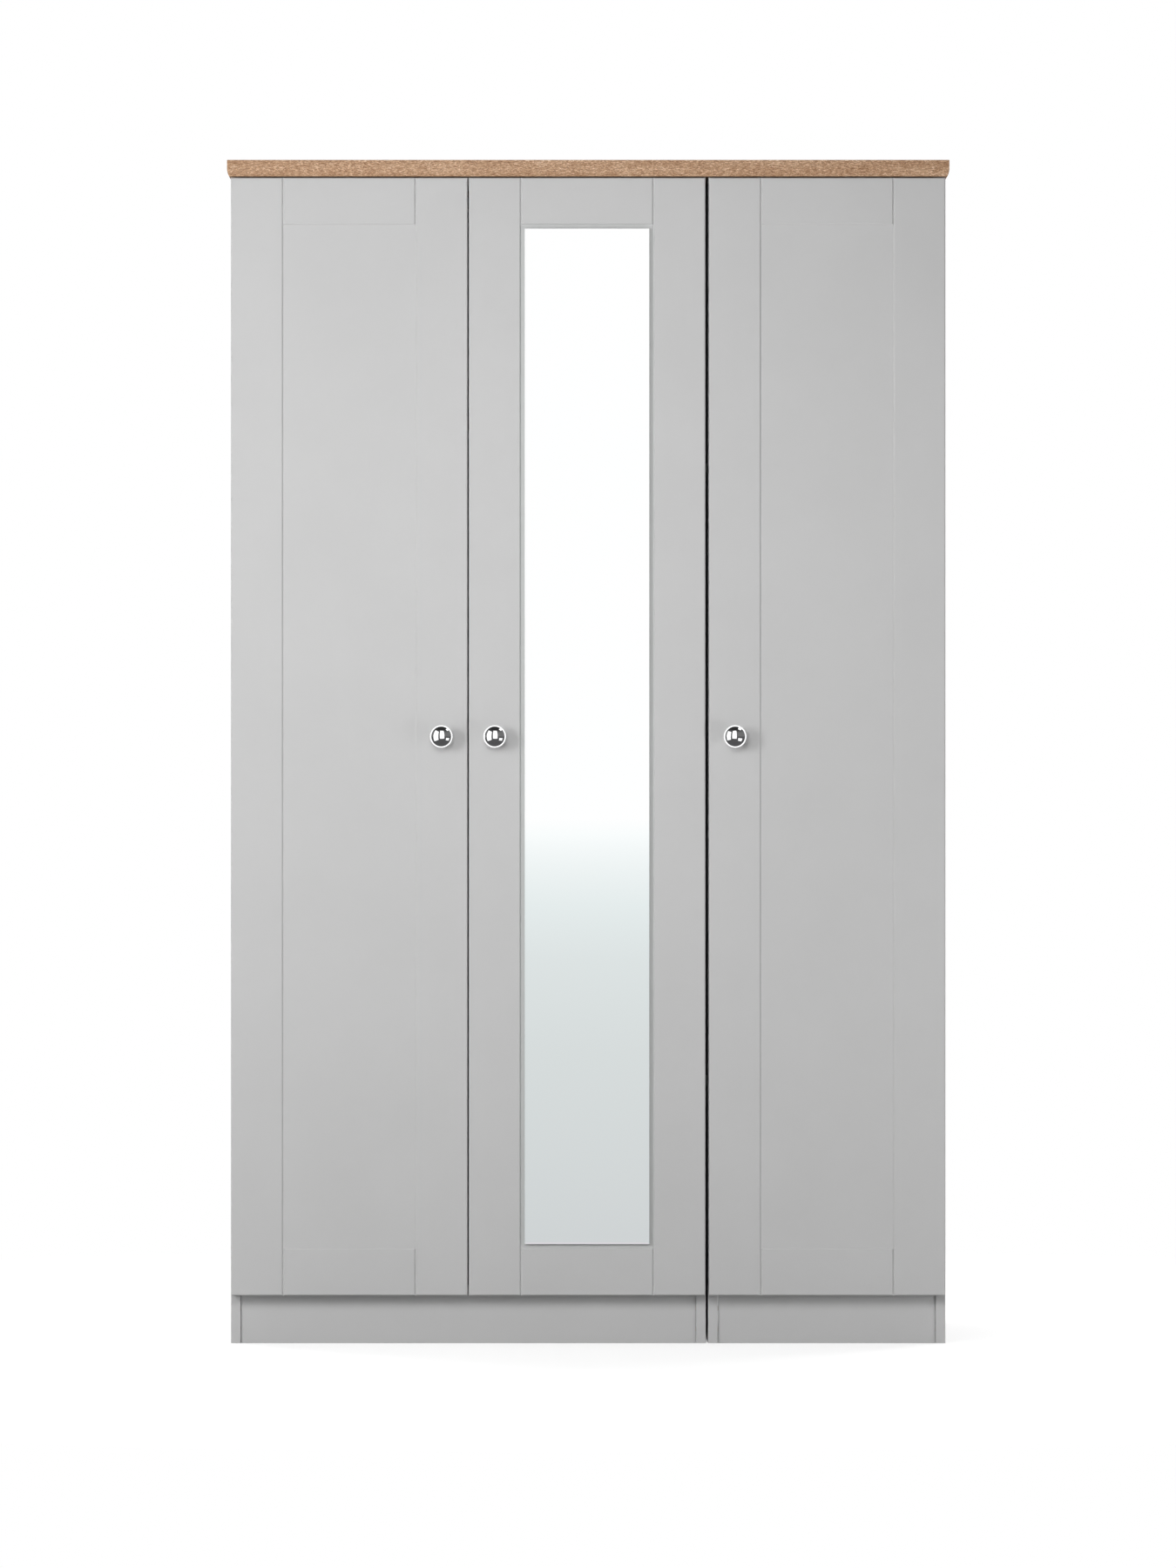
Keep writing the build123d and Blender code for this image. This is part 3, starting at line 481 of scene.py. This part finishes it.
def floor_seen(tree, spot, matt):
    """The floor to the camera: matt with a glow that falls off under the wardrobe as a painted shadow, and
    white further out.
    """
    across = split(tree, spot)
    middle_depth = (plinth_front + carcase_rear) / 2
    half_depth = (carcase_rear - plinth_front) / 2
    beside = calc(tree, "ADD", calc(tree, "ABSOLUTE", across["X"]), carcase_left)
    depth = calc(tree, "SUBTRACT", across["Y"], middle_depth)
    before = calc(tree, "SUBTRACT", calc(tree, "ABSOLUTE", depth), half_depth)
    outside = calc(tree, "MAXIMUM", beside, before)
    # The glow drops inside the footprint: a painted shadow under the wardrobe, over the lamps' real
    # shadow.
    strength = rescale(tree, outside, -painted_shadow_fade, 0.0, painted_shadow_glow, floor_glow)
    near = add(tree, "AddShader", {0: matt, 1: emission(tree, white, strength)}).outputs[0]
    reach = add(tree, "VectorMath", {0: spot}, operation="LENGTH").outputs["Value"]
    return mix_shaders(tree, rescale(tree, reach, white_start, white_full), near, emission(tree, white))


def floor_mirrored(tree, spot):
    """The floor in a mirror, painted as a glow: grey near the doors as painted shade, white a long way
    off, and a painted dark grey reflection in polished metal.
    """
    nearest = -1.0       # distances ahead of the doors, as powers of ten
    furthest = 3.0
    ahead = calc(tree, "SUBTRACT", door_front, split(tree, spot)["Y"])
    power = calc(tree, "LOGARITHM", calc(tree, "MAXIMUM", ahead, 10.0 ** nearest), 10.0)
    # Painted shading of the floor as a mirror shows it: grey near the doors, white far off.
    painted_floor_shades = ramp(
        tree,
        rescale(tree, power, nearest, furthest),
        [
            (0.20, colour(215, 213, 217)),
            (0.358, colour(207, 211, 212)),
            (0.530, colour(215, 220, 220)),
            (0.605, colour(221, 227, 227)),
            (0.658, colour(229, 236, 236)),
            (0.770, colour(250, 253, 253)),
            (0.815, colour(255, 255, 255)),
        ],
    )
    # Polished metal sees the floor as a painted dark grey, a painted dark reflection in the knobs.
    return emission(tree, mix(tree, in_polish(tree), painted_floor_shades, colour(84, 84, 85)))


def make_floor():
    """A pale floor: white to the camera with a soft shadow from the lamps and a painted one under the
    wardrobe, and greyer near the doors in a mirror as painted shade.
    """
    floor = make_sheet("floor", level_corners(-floor_half, floor_half, -floor_half, floor_half, 0.0))
    tree = bare_tree(floor)
    spot = add(tree, "NewGeometry").outputs["Position"]
    matt = add(tree, "BsdfDiffuse", {"Color": floor_grey}).outputs[0]
    path = add(tree, "LightPath").outputs
    other_rays = mix_shaders(tree, path["Is Glossy Ray"], matt, floor_mirrored(tree, spot))
    face = mix_shaders(tree, path["Is Camera Ray"], other_rays, floor_seen(tree, spot, matt))
    add(tree, "OutputMaterial", {"Surface": face})


def make_lamp(name, spot, width, height, watts):
    """A soft box aimed at the middle of the doors, that lights surfaces but is not seen in polish."""
    data = bpy.data.lights.new(name, "AREA")
    data.shape = "RECTANGLE"
    data.size = width
    data.size_y = height
    data.energy = watts
    lamp = bpy.data.objects.new(name, data)
    bpy.context.scene.collection.objects.link(lamp)
    lamp.location = spot
    aim = Vector(lamp_target) - Vector(spot)
    lamp.rotation_euler = aim.to_track_quat("-Z", "Y").to_euler()
    lamp.visible_camera = False
    lamp.visible_glossy = False


def make_camera():
    """The camera, level and square to the doors."""
    data = bpy.data.cameras.new("camera")
    data.sensor_width = sensor_size
    data.lens = sensor_size * camera_distance / frame_height
    data.clip_end = camera_reach
    camera = bpy.data.objects.new("camera", data)
    bpy.context.scene.collection.objects.link(camera)
    camera.location = (camera_aside, door_front - camera_distance, camera_height)
    camera.rotation_euler = (math.radians(90.0), 0.0, 0.0)
    bpy.context.scene.camera = camera


rear_lamp = {"width": 1.2, "height": 1.2, "watts": 60.0}
lamps = {
    "left_lamp": {"spot": (-2.6, door_front - 2.2, 1.53), "width": 0.8, "height": 1.5, "watts": 49.6},
    "right_lamp": {"spot": (2.4, door_front - 1.3, 0.31), "width": 0.5, "height": 0.5, "watts": 13.5},
    "front_lamp": {"spot": (-0.27, door_front - 1.97, 1.56), "width": 0.9, "height": 0.9, "watts": 15.6},
    "left_rear_lamp": {"spot": (-2.5, carcase_rear + 1.9, 2.3), **rear_lamp},
    "right_rear_lamp": {"spot": (2.5, carcase_rear + 1.9, 2.3), **rear_lamp},
    "top_lamp": {"spot": (0.0, carcase_rear + 0.9, 3.6), "width": 1.6, "height": 1.0, "watts": 44.0},
}
cards = {
    "front_card": upright_corners((-0.64, -2.22), (0.72, -2.22), 0.3, 3.2),
    "left_card": upright_corners((-1.02, -1.95), (-1.6, -0.79), 0.0, 2.4),
    "right_card": upright_corners((0.88, -1.53), (1.42, -0.84), 0.01, 0.62),
    "high_card": level_corners(0.95, 1.85, -1.05, 0.05, 2.74),
}

make_world()
make_floor()
for name, lamp in lamps.items():
    make_lamp(name, **lamp)
for name, corners in cards.items():
    make_card(name, corners)
make_camera()
bpy.context.scene.view_settings.view_transform = "Standard"
